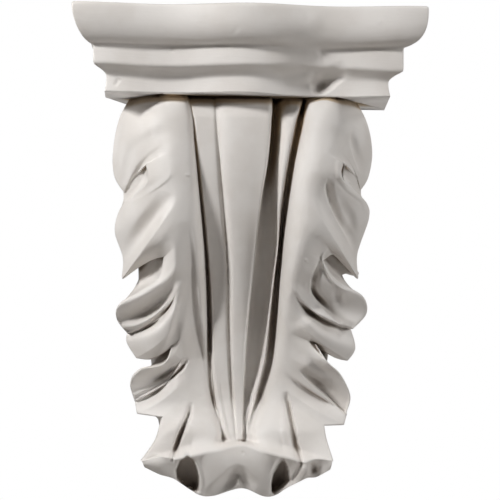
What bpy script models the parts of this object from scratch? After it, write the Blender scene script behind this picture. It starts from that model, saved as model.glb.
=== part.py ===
"""A cast corbel: a moulded cap over one long acanthus leaf that hangs down the
front and curls forward at its foot. The whole thing is one casting.

Metres, +Z up. The wall is the plane y = 0 and the corbel stands out towards -Y.
The origin is the middle of the flat back, half way up.

The leaf is laid out in pattern millimetres: across (from the centre plane),
down (below the cap's underside) and out (from the wall). The pattern is then
stretched to the leaf's own width, drop and reach.
"""
import math

import bmesh
import bpy
from mathutils import Vector

# Driving dimensions
CORBEL_HEIGHT = 0.254
CAP_WIDTH = 0.178
CAP_PROJECTION = 0.112
CAP_HEIGHT = 0.0425
LEAF_WIDTH = 0.137
LEAF_REACH = 0.084

# The cap's moulding, each step measured from the one above it
OVOLO_HEIGHT = 0.0190
OVOLO_STEP = 0.0099
FASCIA_HEIGHT = 0.0104
COVE_STEP = 0.0065
COVE_WAIST = 0.55
COVE_FLARE = 0.0008
FRONT_STEP_SHARE = 1.35
TOP_EDGE_RADIUS = 0.0016
REVEAL = 0.0006

# The cap's front is serpentine in plan: forward at the corners and the middle
VALLEY_DEPTH = 0.0085
VALLEY_PLACE = 0.47
CORNER_SETBACK = 0.0035
RIGHT_VALLEY_SHARE = 1.8

# Behind the corners the sides are hollowed, as far down as the cove
SIDE_HOLLOW = 0.006
SIDE_HOLLOW_REACH = 0.040
SIDE_PLACES = (0.0, 0.45, 0.65, 0.83)

# The casting is a little out of true: below the quarter-round the mouldings hang
# lower on the right, and at the wall the cove's foot turns in on the left and out
# on the right
RIGHT_DROOP = 0.0015
DROOP_PLACE = 0.35
LEFT_WALL_INSET = 0.0135
RIGHT_WALL_FLARE = 0.009
LEFT_CHAMFER_OUT = 0.050

# The leaf's root runs up into the cap by this much
ROOT_LAP = 0.006
ROOT_OUT = 40.0
ROOT_BOW = 22.0

# Pattern sizes that the tables below are drawn at, in pattern millimetres
PATTERN_WIDTH = 137.0
PATTERN_DROP = 212.35
PATTERN_REACH = 84.0
EDGE_THICKNESS = 5.0
EDGE_ROUNDING = 0.6
RIB_WALL_RUN = 0.8

# How finely the leaf is cut
ROWS_BETWEEN_SPOKES = 2
CURL_ROWS = 6
LEAFLET_COLUMNS = 7
LOBE_COLUMNS = 4
CAP_FRONT_STEPS = 26
OVOLO_STEPS = 5
COVE_STEPS = 6
SHARP_ANGLE = 40.0

PAINT_COLOUR = (0.78, 0.76, 0.73, 1.0)
PAINT_ROUGHNESS = 0.62

# The flutes in the middle of the leaf. Each line is a level down the leaf, and
# where each ridge and furrow stands there: across on the left and right, out.
LEVELS = (-6, 3, 12, 34, 55, 76, 97, 118, 140, 161, 177)
RIB_OUT = (62, 74, 79, 79, 74, 65, 55, 46, 39, 36, 42)
RIB_EDGE = {"left": (16, 15.7, 15, 13.1, 11.1, 8.9, 7.3, 6.4, 5.3, 3.9, 2.9),
            "right": (14, 13.6, 13, 11.3, 8.3, 6.8, 5.3, 3.6, 2.2, 1.2, 0.4)}
# Across the rib's face: share of the way to its edge, and share of the furrow's depth
RIB_SECTION = {"left": ((0, 0.05), (0.45, 0), (0.82, 0.12), (1, 0.4)),
               "right": ((0, 0.05), (0.35, 0.12), (0.8, 0), (1, 0.06))}
FURROW_DEPTH = (8, 10, 12, 13, 13, 12, 11, 9, 6, 4, 2)
BLADE_EDGE = {"left": (29.5, 28.9, 27, 24.6, 22.2, 19.7, 17.2, 15.5, 15, 13.2, 10),
              "right": (30, 29.3, 26, 21.8, 19.2, 18.1, 16.3, 14.7, 12.5, 7.5, 3)}
BLADE_OUT = (56, 66, 70, 70, 65, 57, 48, 41, 37, 35, 42)
LOBE_FOOT_OUT = (44, 50, 54, 54, 50, 43, 36, 30, 28, 30, 41)
LOBE_FOOT = {"left": (30, 29.7, 28.5, 26, 23.6, 21.2, 19.2, 18, 17.3, 15, 11.5),
             "right": (30.8, 30.2, 29, 24.8, 22.2, 20.4, 19.6, 18.8, 17, 11.5, 6)}
LOBE_CREST = {"left": (45, 44.6, 44.2, 43.4, 40.7, 37.2, 33.6, 30.5, 28.1, 25.8, 19.7),
              "right": (45, 44.5, 43.5, 41.1, 37.4, 34.4, 32.1, 30.6, 29, 24.8, 16)}
LOBE_OUT = (58, 74, 81, 83, 79, 71, 61, 52, 45, 44, 51)
SIDE_OUT = (40, 44, 47, 50, 48, 45, 43, 41, 40, 44, 54)

# The leaf's edge from the cap to the foot. Each spoke runs from the lobe's crest
# (root, its level there) to a point on the edge (across, down), where the leaf
# stands so far out. Swell lifts or hollows the leaf half way along the spoke, and
# sag bows the spoke down. Corner spokes break the edge's curve.
SPOKES = {
    "left": (
        # name, root, across, down, out, swell, sag, corner
        ("hood top", -6, 56, -6, 40, 0, 0, False),
        ("hood shoulder", 6, 64.8, 10, 44, 1, -0.2, False),
        ("hood side", 14.5, 68.2, 28, 47, 2, -0.4, False),
        ("hood flank", 19.5, 67.5, 41, 47, 0, -0.5, False),
        ("hood tip", 22.5, 62.6, 49.5, 49, 0, -0.5, True),
        ("first eye over", 25.5, 56.7, 41.3, 60, 0, -0.4, False),
        ("first eye", 30.5, 51.2, 35.9, 76, 0, -0.1, True),
        ("first eye under", 36, 50.2, 45, 76, 0, 0.3, False),
        ("second lip", 40, 56.6, 52.4, 64, 0, 0.4, False),
        ("second shoulder", 43, 64, 58.5, 52, -2, 0.3, False),
        ("second side", 46, 67.1, 70.5, 46, -4, 0.2, False),
        ("second fold", 50, 62.8, 84.3, 42, -4, 0.1, False),
        ("second tip", 57, 63.3, 95.4, 41, 3, 0.0, True),
        ("second edge", 65, 54.8, 89, 47, 3, 0, False),
        ("second eye over", 72, 47, 84.7, 56, 1, 0, False),
        ("second eye", 78, 41.4, 83.5, 64, 0, 0.1, True),
        ("second eye under", 84, 43.9, 95.2, 60, -1, 0.3, False),
        ("third lip", 88, 54.2, 102.7, 50, -3, 0.6, False),
        ("third shoulder", 91, 64.8, 109.7, 44, -6, 0.65, False),
        ("third side", 94, 65.8, 117.2, 42, -6, 0.65, False),
        ("third fold", 97, 60.6, 124.4, 44, 1, 0.65, True),
        ("fourth fold", 98.5, 60.2, 125.2, 36, -4, 0.65, True),
        ("fourth side", 107, 60.5, 130.1, 36, 4, 0.5, False),
        ("fourth tip", 115, 55.6, 138.2, 35, 5, 0.3, True),
        ("fourth edge", 122, 47.1, 138.2, 39, 3, 0.0, False),
        ("third eye", 127, 36.6, 131, 46, 0, 0.1, True),
        ("third eye under", 132, 40.8, 141.0, 44, 0, 0.5, False),
        ("fifth shoulder", 137, 54, 144.4, 41, -2, 0.85, False),
        ("fifth side", 139, 58.5, 151.4, 39, -5, 0.7, False),
        ("fifth fold", 141.5, 56.3, 160.8, 42, 1, 0.3, True),
        ("sixth fold", 143, 56, 161.6, 37, -3, 0.3, True),
        ("sixth tip", 150, 55, 167.7, 40, 3, 0.2, True),
        ("notch", 156, 41.7, 169.2, 45, 1, 0.1, True),
        ("skirt side", 166, 45.4, 181.2, 51, 0, 0, False),
        ("skirt corner", 184.5, 52.8, 191.5, 57, 0, 0, True),
    ),
    "right": (
        ("hood top", -6, 57, -6, 40, 0, 0, False),
        ("hood shoulder", 6, 65.7, 10.5, 44, 1, -0.2, False),
        ("hood side", 14, 68.6, 27, 47, 2, -0.4, False),
        ("hood flank", 19, 66.7, 40.5, 47, 0, -0.5, False),
        ("hood tip", 22, 62.4, 47.5, 49, 0, -0.5, True),
        ("first eye over", 25, 58.5, 40.5, 58, 0, -0.4, False),
        ("first eye", 30, 51.1, 35, 76, 0, -0.1, True),
        ("first eye under", 35, 50, 43, 76, 0, 0.3, False),
        ("second lip", 39, 56.8, 48.6, 64, 0, 0.4, False),
        ("second shoulder", 42, 65.4, 55.5, 52, -2, 0.3, False),
        ("second side", 45, 66.9, 63.4, 47, -4, 0.2, False),
        ("second fold", 49, 61.4, 82, 43, -4, 0.1, False),
        ("second tip", 56, 62.3, 94.9, 41, 3, 0, True),
        ("second edge", 64, 53.9, 87.0, 49, 3, 0, False),
        ("second eye over", 70, 47, 82, 59, 1, 0, False),
        ("second eye", 77, 40.7, 85.5, 64, 0, 0.1, True),
        ("second eye under", 82, 46.5, 93.8, 58, -1, 0.3, False),
        ("third lip", 86, 54.6, 99.6, 50, -3, 0.45, False),
        ("third shoulder", 90, 64.2, 105.5, 44, -5, 0.45, False),
        ("third side", 95, 66.6, 114, 42, -6, 0.45, False),
        ("third fold", 99, 59.2, 122, 44, 1, 0.45, True),
        ("fourth fold", 100.5, 58.9, 122.8, 36, -4, 0.45, True),
        ("fourth side", 107, 61.4, 133, 36, 4, 0.35, False),
        ("fourth tip", 113, 57.7, 139.4, 35, 5, 0.2, True),
        ("fourth edge", 118, 50.3, 137.3, 38, 3, 0, False),
        ("third eye", 124, 38.7, 130, 46, 0, 0, True),
        ("third eye under", 130, 44.7, 139.8, 43, -1, 0.2, False),
        ("fifth shoulder", 136, 53.1, 147.5, 41, -4, 0.3, False),
        ("fifth side", 141, 58.9, 159, 39, -5, 0.2, False),
        ("fifth fold", 145, 57.2, 167.4, 42, 1, 0.1, True),
        ("sixth fold", 146.5, 56.9, 168.2, 37, -3, 0.1, True),
        ("sixth tip", 154, 55.1, 173.8, 40, 3, 0.1, True),
        ("notch", 160, 43.7, 173.7, 45, 1, 0, True),
        ("skirt side", 169, 44.6, 181.3, 50, 0, 0, False),
        ("skirt corner", 184.5, 47.3, 191.5, 57, 0, 0, True),
    ),
}

# The foot's curl, read across from the centre: where the leaf turns over (the
# lip), where its under edge hangs, and how far the face between them stands out
CURL = {
    # across of lip, down of lip, out of lip, across of edge, down of edge, out of edge, swell
    "left": ((0, 182.6, 46, 0, 207.4, 44, 3),
             (14.5, 185.6, 55, 14, 211.6, 52, 6),
             (22, 187.3, 59, 21.5, 211.4, 50, 5),
             (28, 188.7, 60, 29, 207, 49, -9),
             (35.6, 190, 59, 36, 201.6, 53, -2),
             (43.4, 188.9, 58, 43.3, 199.3, 53, 3),
             (52.8, 191.5, 57, 51.5, 195, 54, 1)),
    "right": ((0, 182.6, 46, 0, 207.4, 44, 3),
              (10.3, 186.1, 55, 12, 212, 52, 6),
              (17, 187.9, 59, 18.5, 211.6, 50, 5),
              (24.6, 189.7, 60, 24, 207.5, 49, -9),
              (31.6, 191.7, 59, 34, 201.8, 52, 2),
              (39, 190.2, 58, 39.6, 200.8, 53, -2),
              (47.3, 191.5, 57, 46.5, 196.5, 54, 1)),
}

# The solid core behind the leaf, at the same levels as the flutes and last at its
# foot: its half width, and how far out its sides reach before they turn in to the leaf.
# Its rows follow the leaf's edge, evened out over a share of the leaf's rows each way.
CORE_HALF_WIDTH = (56, 58, 60, 62, 61, 56, 54, 53, 51, 46, 43, 38)
CORE_NECK_OUT = (24, 25, 27, 30, 29, 27, 26, 25, 24, 24, 24, 24)
CORE_FOOT_LEVEL = 199.0
CORE_FOOT_SAG = 0.006
CORE_EVENING_SHARE = 0.08
CORE_EVEN_SHARE = 0.3
EDGE_STATION_COUNT = 4

# Above this level the rows cross the middle of the leaf level, below it they bow
# down towards the curl's lip
BOW_START = 150.0


def clear_scene():
    for item in list(bpy.data.objects):
        bpy.data.objects.remove(item, do_unlink=True)


def paint_material():
    paint = bpy.data.materials.new("primed_urethane")
    paint.use_nodes = True
    shader = paint.node_tree.nodes["Principled BSDF"]
    shader.inputs["Base Color"].default_value = PAINT_COLOUR
    shader.inputs["Roughness"].default_value = PAINT_ROUGHNESS
    shader.inputs["Metallic"].default_value = 0.0
    return paint


def blend(first, second, share):
    return first + (second - first) * share


def table_at(levels, values, level):
    """Read a table at a level by a smooth curve through its rows."""
    if level <= levels[0]:
        return values[0]
    if level >= levels[-1]:
        return values[-1]
    upper = max(i for i in range(len(levels) - 1) if levels[i] <= level)
    share = (level - levels[upper]) / (levels[upper + 1] - levels[upper])
    before = values[max(upper - 1, 0)]
    after = values[min(upper + 2, len(values) - 1)]
    return smooth_step_curve(before, values[upper], values[upper + 1], after, share)


def smooth_step_curve(before, start, end, after, share):
    """One span of a Catmull-Rom curve."""
    pull_start = (end - before) / 2
    pull_end = (after - start) / 2
    cube, square = share ** 3, share ** 2
    return ((2 * cube - 3 * square + 1) * start + (cube - 2 * square + share) * pull_start
            + (3 * square - 2 * cube) * end + (cube - square) * pull_end)


def level_value(values, level):
    return table_at(LEVELS, values, level)


def lobe_surface(side, across, down):
    """How far out the lobe's rounded back stands, outside its crest."""
    crest = level_value(LOBE_CREST[side], down)
    crest_out = level_value(LOBE_OUT, down)
    side_out = level_value(SIDE_OUT, down)
    reach = max(0.0, (across - crest) / (PATTERN_WIDTH / 2 - crest))
    return crest_out - (crest_out - side_out) * min(reach, 1.15) ** 1.9


def spoke_rows(side):
    """Every row of the leaf: root level, edge across, down and out, swell and sag."""
    spokes = SPOKES[side]
    rows = []
    for index, (here, there) in enumerate(zip(spokes, spokes[1:])):
        before = spokes[index - 1] if index and not here[-1] else here
        after = there if there[-1] else spokes[index + 2]
        fold = here[0].endswith("fold") and there[0].endswith("fold")
        steps = 1 if fold else ROWS_BETWEEN_SPOKES
        for step in range(steps):
            share = step / steps
            root = blend(here[1], there[1], share)
            values = [smooth_step_curve(before[k], here[k], there[k], after[k], share) for k in range(2, 7)]
            rows.append((root, *values))
    rows.append(spokes[-1][1:7])
    return rows


def leaflet_part(side, row):
    """Points along one row from just past the lobe's crest to the leaf's edge."""
    root, edge_across, edge_down, edge_out, swell, sag = row
    crest = level_value(LOBE_CREST[side], root)
    start = Vector((crest, root))
    end = Vector((edge_across, edge_down))
    control = Vector((blend(crest, edge_across, 0.5 - sag / 2), blend(root, edge_down, 0.5 + sag / 2)))
    missing = edge_out - lobe_surface(side, edge_across, edge_down)
    points = []
    for step in range(1, LEAFLET_COLUMNS + 1):
        share = step / LEAFLET_COLUMNS
        place = start * (1 - share) ** 2 + control * 2 * share * (1 - share) + end * share ** 2
        hump = math.sin(math.pi * min(share, 1 - 1e-9)) ** 1.2
        out = lobe_surface(side, place.x, place.y) + missing * share ** 2 + swell * hump
        points.append((place.x, place.y, out))
    return points


def flute_part(side, level, centre_level):
    """Points from the centre line to the lobe's crest at one level."""
    rib_out = level_value(RIB_OUT, level)
    rib_edge = level_value(RIB_EDGE[side], level)
    fall = level_value(FURROW_DEPTH, level)
    furrow = rib_out - fall
    blade = level_value(BLADE_EDGE[side], level)
    blade_out = level_value(BLADE_OUT, level)
    foot = level_value(LOBE_FOOT[side], level)
    foot_out = level_value(LOBE_FOOT_OUT, level)
    crest = level_value(LOBE_CREST[side], level)
    crest_out = level_value(LOBE_OUT, level)
    stations = [(rib_edge * share, rib_out - fall * depth) for share, depth in RIB_SECTION[side]]
    stations += [(rib_edge + RIB_WALL_RUN, furrow),
                 (blend(rib_edge, blade, 0.55), blend(furrow, blade_out, 0.5)),
                 (blade, blade_out),
                 (blend(blade, foot, 0.55), foot_out)]
    for step in range(1, LOBE_COLUMNS + 1):
        angle = math.pi / 2 * step / LOBE_COLUMNS
        across = blend(foot, crest, 1 - math.cos(angle))
        stations.append((across, blend(foot_out, crest_out, math.sin(angle))))
    slope = (level - centre_level) / crest
    return [(across, centre_level + slope * across, out) for across, out in stations]


def core_level(rims, index):
    """How far down a row meets the core: the leaf's edge with its in and outs evened out."""
    reach = round(CORE_EVENING_SHARE * len(rims))

    def evened(place):
        near = rims[max(place - reach, 0):place + reach + 1]
        return sum(rim[1] for rim in near) / len(near)
    highest = max(evened(place) for place in range(index + 1))
    share = (highest - evened(0)) / (max(evened(place) for place in range(len(rims))) - evened(0))
    share = blend(share, index / (len(rims) - 1), CORE_EVEN_SHARE)
    return blend(-ROOT_LAP * 1000, CORE_FOOT_LEVEL, share)


def edge_part(side, rims, index):
    """Round the leaf's edge, then in under it to the core and back to the wall."""
    across, down, out = rims[index]
    inwards = Vector((0.0, 0.0))
    for start, end in ((max(index - 1, 0), index), (index, min(index + 1, len(rims) - 1))):
        along = Vector((rims[end][0] - rims[start][0], rims[end][1] - rims[start][1]))
        if along.length > 1.0:
            inwards += Vector((-along.y, along.x)).normalized() / 2
    level = core_level(rims, index)
    levels = LEVELS + (CORE_FOOT_LEVEL,)
    core = table_at(levels, CORE_HALF_WIDTH, level)
    back = (across + EDGE_ROUNDING * inwards.x, down + EDGE_ROUNDING * inwards.y, out - EDGE_THICKNESS)
    neck = (core, level, table_at(levels, CORE_NECK_OUT, level))
    under = tuple(blend(start, end, 0.55) for start, end in zip(back, neck))
    return [back, under, neck, (core, level, 0.0)]


def curl_value(side, across, field):
    """Read one field of the curl's table where its lip is so far across."""
    other = CURL["right" if side == "left" else "left"][1]
    past_middle = (-other[0], other[1], other[2], -other[3], *other[4:])
    stations = (past_middle,) + CURL[side]
    return table_at([station[0] for station in stations], [station[field] for station in stations], across)


def curl_point(side, across, share):
    """A point on the curl's face, from the lip (share 0) to the hanging edge (share 1)."""
    lip_across, lip_down, lip_out, edge_across, edge_down, edge_out, swell = (
        curl_value(side, across, field) for field in range(7))
    return (blend(lip_across, edge_across, share), blend(lip_down, edge_down, share),
            blend(lip_out, edge_out, share) + swell * math.sin(math.pi * share))


def half_rows(side):
    """All rows of one half, each a list of (across, down, out) from the centre outwards."""
    spokes = spoke_rows(side)
    curl_start = CURL[side][0][1]
    rows = []
    for row in spokes[:-1]:
        root = row[0]
        bow = max(0.0, (root - BOW_START) / (spokes[-1][0] - BOW_START)) ** 3
        centre_level = blend(root, curl_start, bow)
        rows.append(flute_part(side, root, centre_level) + leaflet_part(side, row))
    rows[0] = [(across, down, ROOT_OUT + ROOT_BOW * (1 - (across / spokes[0][1]) ** 2))
               for across, down, _ in rows[0]]
    last = flute_part(side, spokes[-1][0], spokes[-1][0]) + leaflet_part(side, spokes[-1])
    for step in range(CURL_ROWS + 1):
        rows.append([curl_point(side, point[0], step / CURL_ROWS) for point in last])
    rims = [row[-1] for row in rows]
    return [row + edge_part(side, rims, index) for index, row in enumerate(rows)]


def pattern_point(side, point):
    """Stretch a pattern point to the leaf's real size and place."""
    across, down, out = point
    sign = -1 if side == "left" else 1
    leaf_top = CORBEL_HEIGHT / 2 - CAP_HEIGHT
    leaf_drop = CORBEL_HEIGHT - CAP_HEIGHT
    return Vector((sign * across * LEAF_WIDTH / PATTERN_WIDTH, -out * LEAF_REACH / PATTERN_REACH,
                   leaf_top - down * leaf_drop / PATTERN_DROP))


def underside_row(edge_row, left_end, right_end):
    """A row under the curl, between the two points where the leaf's sides reach that far back."""
    first, last = edge_row[0].co, edge_row[-1].co
    width = last.x - first.x
    row = []
    for vert in edge_row[1:-1]:
        share = (vert.co.x - first.x) / width
        line = blend(left_end.co, right_end.co, share)
        hang = vert.co.z - blend(first.z, last.z, share)
        stand = vert.co.y - blend(first.y, last.y, share)
        near = abs(line.y) / abs(first.y)
        sag = CORE_FOOT_SAG * 4 * share * (1 - share) * (1 - near)
        row.append(Vector((line.x, line.y + stand * near, line.z + hang * near - sag)))
    return row


def build_leaf(paint):
    left, right = half_rows("left"), half_rows("right")
    mesh = bmesh.new()
    grid = []
    for left_row, right_row in zip(left, right):
        places = [pattern_point("left", point) for point in reversed(left_row[1:])]
        places += [pattern_point("right", point) for point in right_row]
        grid.append([mesh.verts.new(place) for place in places])
    bridge_rows(mesh, grid)

    # Under the curl the rows run back to the wall between the leaf's two sides
    tail = EDGE_STATION_COUNT
    edge_row = grid[-1][tail:-tail]
    rows = [edge_row]
    for step in range(tail):
        left_end, right_end = grid[-1][tail - 1 - step], grid[-1][step - tail]
        inner = [mesh.verts.new(place) for place in underside_row(edge_row, left_end, right_end)]
        rows.append([left_end] + inner + [right_end])
    bridge_rows(mesh, rows)

    # The flat back, and the root inside the cap
    for upper, lower in zip(grid[:-2], grid[1:-1]):
        mesh.faces.new((upper[0], lower[0], lower[-1], upper[-1]))
    mesh.faces.new([grid[-2][0]] + rows[-1] + [grid[-2][-1]])
    root = grid[0]
    for index in range(len(root) // 2 - 1):
        mesh.faces.new((root[index], root[index + 1], root[-2 - index], root[-1 - index]))
    middle = len(root) // 2
    mesh.faces.new(root[middle - 1:middle + 2])
    return finish_mesh("corbel", mesh, paint)


def bridge_rows(mesh, rows):
    for upper, lower in zip(rows, rows[1:]):
        for index in range(len(upper) - 1):
            mesh.faces.new((upper[index], upper[index + 1], lower[index + 1], lower[index]))


def finish_mesh(name, mesh, paint):
    mesh.normal_update()
    bmesh.ops.triangulate(mesh, faces=mesh.faces[:], ngon_method="EAR_CLIP")
    bmesh.ops.recalc_face_normals(mesh, faces=mesh.faces[:])
    data = bpy.data.meshes.new(name)
    mesh.to_mesh(data)
    mesh.free()
    data.materials.append(paint)
    data.shade_smooth()
    data.set_sharp_from_angle(angle=math.radians(SHARP_ANGLE))
    item = bpy.data.objects.new(name, data)
    bpy.context.scene.collection.objects.link(item)
    return item


def cap_profile():
    """The moulding from the top down: (inset from the widest, distance below the top)."""
    points = [(TOP_EDGE_RADIUS, 0.0), (TOP_EDGE_RADIUS * 0.3, TOP_EDGE_RADIUS * 0.3), (0.0, TOP_EDGE_RADIUS)]
    for step in range(1, OVOLO_STEPS + 1):
        angle = math.pi / 2 * step / OVOLO_STEPS
        points.append((OVOLO_STEP * (1 - math.cos(angle)),
                       TOP_EDGE_RADIUS + (OVOLO_HEIGHT - TOP_EDGE_RADIUS) * math.sin(angle)))
    fascia_inset = OVOLO_STEP + REVEAL
    fascia_foot = OVOLO_HEIGHT + FASCIA_HEIGHT
    points += [(fascia_inset, OVOLO_HEIGHT + REVEAL), (fascia_inset, fascia_foot)]
    cove_height = CAP_HEIGHT - fascia_foot
    for step in range(1, COVE_STEPS + 1):
        share = step / COVE_STEPS
        inset = fascia_inset + COVE_STEP * math.sin(math.pi / 2 * min(1.0, share / COVE_WAIST)) ** 0.8
        inset -= COVE_FLARE * max(0.0, (share - COVE_WAIST) / (1 - COVE_WAIST)) ** 2
        points.append((inset, fascia_foot + cove_height * share))
    return points


def front_outline(inset, below):
    """The cap's plan at one level, from the wall round the front and back to the wall."""
    half = CAP_WIDTH / 2 - inset
    front = CAP_PROJECTION - inset * FRONT_STEP_SHARE
    lower = min(1.0, below / OVOLO_HEIGHT)
    in_cove = max(0.0, (below - OVOLO_HEIGHT - FASCIA_HEIGHT) / (CAP_HEIGHT - OVOLO_HEIGHT - FASCIA_HEIGHT))
    points = []
    for step in range(CAP_FRONT_STEPS + 1):
        place = -1 + 2 * step / CAP_FRONT_STEPS
        distance = abs(place)
        if distance < VALLEY_PLACE:
            turn = distance / VALLEY_PLACE
        else:
            turn = 1 + (distance - VALLEY_PLACE) / (1 - VALLEY_PLACE)
        valley = VALLEY_DEPTH * (blend(1.0, RIGHT_VALLEY_SHARE, lower) if place > 0 else 1.0)
        recess = valley * (1 - math.cos(math.pi * turn)) / 2 + CORNER_SETBACK * distance ** 2
        points.append((place * half, -(front - recess)))
    corner = points[0][1]
    for place in reversed(SIDE_PLACES):
        stand = corner * place
        behind = min(1.0, (stand - corner) / SIDE_HOLLOW_REACH)
        hollow = SIDE_HOLLOW * behind ** 2 * (3 - 2 * behind) * (1 - in_cove)
        chamfer = LEFT_WALL_INSET * in_cove * max(0.0, 1 + stand / LEFT_CHAMFER_OUT)
        flare = RIGHT_WALL_FLARE * in_cove * (1 - place)
        points.insert(0, (-half + hollow + chamfer, stand))
        points.append((half - hollow + flare, stand))
    outline = []
    below_ovolo = min(1.0, max(0.0, (below - OVOLO_HEIGHT) / FASCIA_HEIGHT))
    for across, stand in points:
        reach = min(1.0, max(0.0, across / (half * DROOP_PLACE) - 1))
        droop = RIGHT_DROOP * below_ovolo * reach ** 2 * (3 - 2 * reach)
        outline.append(Vector((across, stand, CORBEL_HEIGHT / 2 - below - droop)))
    return outline


def build_cap(paint):
    mesh = bmesh.new()
    rows = [[mesh.verts.new(place) for place in front_outline(*level)] for level in cap_profile()]
    bridge_rows(mesh, rows)
    mesh.faces.new(rows[0])
    mesh.faces.new(rows[-1])
    mesh.faces.new([row[0] for row in rows] + [row[-1] for row in reversed(rows)])
    return finish_mesh("cap", mesh, paint)


def join_cap(leaf, cap):
    """Cast the cap and the leaf as one body."""
    union = leaf.modifiers.new("cast in one with the cap", "BOOLEAN")
    union.operation = "UNION"
    union.solver = "EXACT"
    union.use_self = True
    union.object = cap
    cap.hide_render = True
    cap.display_type = "WIRE"


clear_scene()
paint = paint_material()
join_cap(build_leaf(paint), build_cap(paint))
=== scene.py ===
"""The looks of a cast corbel: a serpentine moulded cap over one fluted acanthus leaf
that curls forward at its foot, cast in urethane foam and primed off-white.

Metres, +Z up. The wall is the plane y = 0 and the corbel stands out towards -Y.
"""
import math

import bpy
import numpy as np
from mathutils import Matrix, Vector
from mathutils.bvhtree import BVHTree


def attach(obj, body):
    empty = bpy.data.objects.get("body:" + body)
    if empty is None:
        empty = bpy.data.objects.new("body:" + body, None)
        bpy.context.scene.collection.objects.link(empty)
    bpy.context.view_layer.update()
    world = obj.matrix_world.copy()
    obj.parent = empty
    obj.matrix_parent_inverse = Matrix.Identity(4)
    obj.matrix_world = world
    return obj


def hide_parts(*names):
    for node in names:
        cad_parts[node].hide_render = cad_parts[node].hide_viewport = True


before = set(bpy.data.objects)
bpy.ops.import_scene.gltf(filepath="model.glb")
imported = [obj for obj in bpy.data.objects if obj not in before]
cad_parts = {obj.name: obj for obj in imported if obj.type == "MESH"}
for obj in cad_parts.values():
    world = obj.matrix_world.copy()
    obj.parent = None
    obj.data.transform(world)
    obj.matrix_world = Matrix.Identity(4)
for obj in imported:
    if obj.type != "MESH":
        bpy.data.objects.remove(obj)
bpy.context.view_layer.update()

# The camera
# It stands a metre off and a little to the left of the corbel's middle, level with
# it, on a long lens. The carving below is placed over this view's own frame.
CAMERA_EYE = Vector((-0.058, -1.0, 0.0))
CAMERA_TARGET = Vector((0.00308, -0.060, 0.0045))
CAMERA_ROLL = 0.00486
FRAME_SIDE = 500
FOCAL_PIXELS = 1799.05
SENSOR_WIDTH = 36.0

camera_data = bpy.data.cameras.new("camera")
camera_data.sensor_width = SENSOR_WIDTH
camera_data.lens = FOCAL_PIXELS / FRAME_SIDE * SENSOR_WIDTH
camera = bpy.data.objects.new("camera", camera_data)
bpy.context.scene.collection.objects.link(camera)
bpy.context.scene.camera = camera
aim = (CAMERA_TARGET - CAMERA_EYE).to_track_quat("-Z", "Y").to_matrix().to_4x4()
camera.matrix_world = Matrix.Translation(CAMERA_EYE) @ aim @ Matrix.Rotation(CAMERA_ROLL, 4, "Z")


def over_view(points):
    """Where points fall in the camera's square frame, in its pixels, x right and y down."""
    turn = np.array(camera.matrix_world.to_3x3())
    local = (points - np.array(CAMERA_EYE)) @ turn
    return np.stack((FRAME_SIDE / 2 + FOCAL_PIXELS * local[:, 0] / -local[:, 2],
                     FRAME_SIDE / 2 - FOCAL_PIXELS * local[:, 1] / -local[:, 2]), axis=1)


# The leaf
# One acanthus leaf, carved and then cast: a middle rib, a blade and a rolled lobe on
# each side, scalloped leaflets down both edges, and a foot that curls forward.
CORBEL_HEIGHT = 0.254
CAP_HEIGHT = 0.0425
LEAF_WIDTH = 0.137
LEAF_REACH = 0.084
ROOT_LAP = 0.006
ROOT_OUT = 40.0
ROOT_BOW = 22.0

# The leaf is laid out in pattern millimetres: across (from the centre plane), down
# (below the cap's underside) and out (from the wall)
PATTERN_WIDTH = 137.0
PATTERN_DROP = 212.35
PATTERN_REACH = 84.0
EDGE_THICKNESS = 5.0
EDGE_BULGE = 0.7
# The way the edge runs is read over so many rows either way, where they lie this far apart
EDGE_SPAN = 3
EDGE_SHORTEST = 1.0

ROW_PITCH = 1.0
FEWEST_ROWS = 4
FOLD_ROWS = 3
CURL_ROWS = 34
RIB_COLUMNS = 10
WALL_COLUMNS = 3
BLADE_COLUMNS = 9
GROOVE_COLUMNS = 5
LOBE_COLUMNS = 17
LEAFLET_COLUMNS = 43
EDGE_COLUMNS = 4
UNDER_COLUMNS = 4
SIDE_COLUMNS = 2

# Levels down the leaf, and where each ridge and furrow stands there
LEVELS = (-6, 3, 12, 34, 55, 76, 97, 118, 140, 161, 177)
RIB_OUT = (62, 74, 79, 79, 74, 65, 55, 46, 39, 36, 45)
RIB_EDGE = {"left": (16, 15.7, 15, 13.1, 11.1, 8.9, 7.3, 6.4, 5.3, 3.9, 2.9),
            "right": (14, 13.6, 13, 11.3, 8.3, 6.8, 5.3, 3.6, 2.2, 1.2, 0.4)}
RIB_WALL_RUN = 0.8
# Across the rib's face from its left edge to its right: share of the way from the
# middle to the edge, and how far below the rib's height in shares of the furrow
RIB_SECTION_PLACES = (-1, -0.93, -0.75, -0.45, -0.2, 0.1, 0.35, 0.6, 0.82, 0.95, 1)
RIB_SECTION_FALLS = (0.28, 0.16, 0.05, 0, 0, 0.03, 0.07, 0.12, 0.15, 0.14, 0.18)
FURROW_DEPTH = (8, 10, 12, 13, 13, 12, 11, 9, 6, 4, 2)
# The left furrow is hardly more than a line; the right one is a deep channel, and where
# its outer wall stands, as a share of the way to the blade's edge, changes down the leaf
FURROW_SHARE = {"left": 0.3, "right": 1.6}
CHANNEL_WALL = (0.25, 0.28, 0.31, 0.42, 0.72, 0.95, 0.95, 0.95, 0.95, 0.95, 0.95)
WALL_RUN = 0.06
CHANNEL_COLUMNS = 4
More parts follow.
